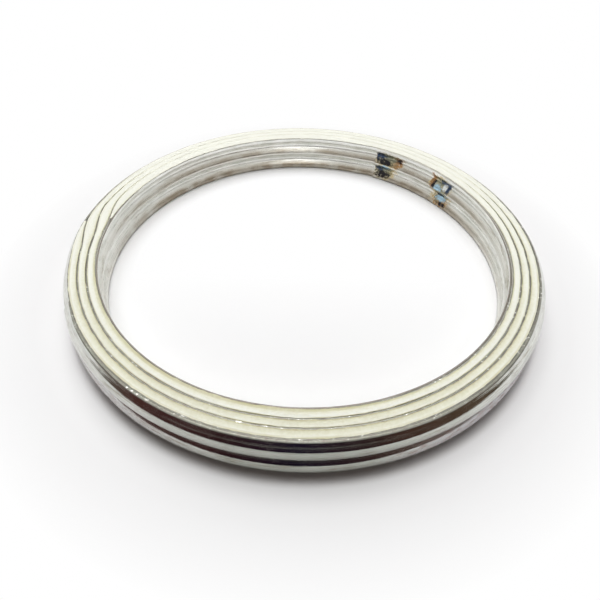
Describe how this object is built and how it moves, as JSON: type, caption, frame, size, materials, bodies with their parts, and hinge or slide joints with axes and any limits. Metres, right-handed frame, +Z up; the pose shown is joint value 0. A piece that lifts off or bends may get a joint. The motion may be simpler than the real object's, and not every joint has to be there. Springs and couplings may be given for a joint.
{
  "type": "spiral-wound exhaust gasket",
  "caption": "Spiral-wound ring gasket for a round exhaust joint: a thin steel strip of W section wound with a soft cream filler strip between its turns.",
  "frame": {"origin": "centre of the face that the ring rests on, on the axis of the bore", "axes": "+Z up along the axis of the bore, from the resting face to the upper face; +X and +Y across the ring; the strip's outer end is on the -X side"},
  "size_m": [0.0588, 0.0588, 0.0053],
  "materials": {
    "steel_strip": "polished",
    "filler": "matte"
  },
  "bodies": {
    "root": {"winding_strip": "steel_strip", "filler_strip": "filler"}
  },
  "joints": []
}
